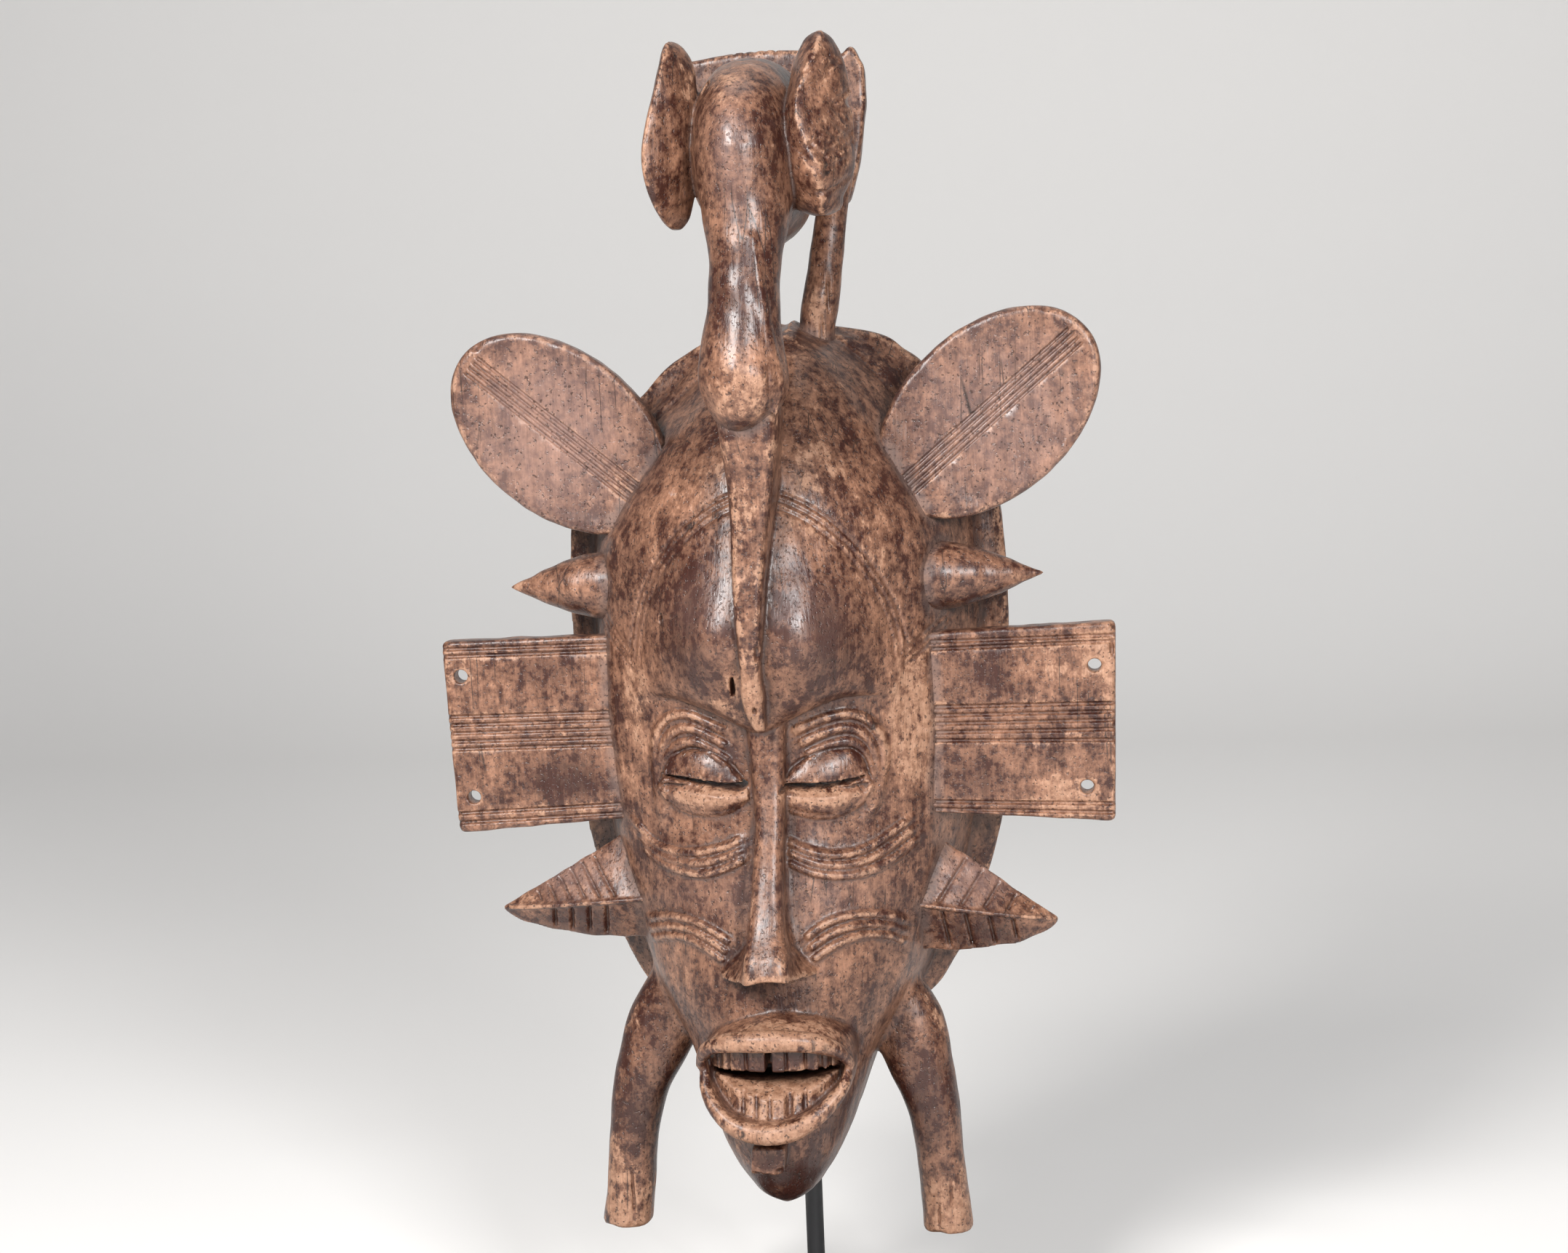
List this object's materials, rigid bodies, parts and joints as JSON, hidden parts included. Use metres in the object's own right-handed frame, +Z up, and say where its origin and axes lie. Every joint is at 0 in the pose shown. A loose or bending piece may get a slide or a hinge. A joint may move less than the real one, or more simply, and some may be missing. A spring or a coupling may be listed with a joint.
{
  "type": "carved face mask on stand",
  "caption": "Carved wooden face mask with a bird crest, side ears, panels and legs, held upright by a metal rod on a flat foot.",
  "frame": {"origin": "centre of the foot's underside", "axes": "+Z up, the carved face looks towards -Y, +X to the viewer's right"},
  "size_m": [0.2158, 0.1349, 0.4375],
  "materials": {
    "wood": "worn semi-gloss patina",
    "black_steel": "matte"
  },
  "bodies": {
    "root": {"mask": "wood", "stand_rod": "black_steel", "stand_foot": "black_steel"}
  },
  "joints": []
}
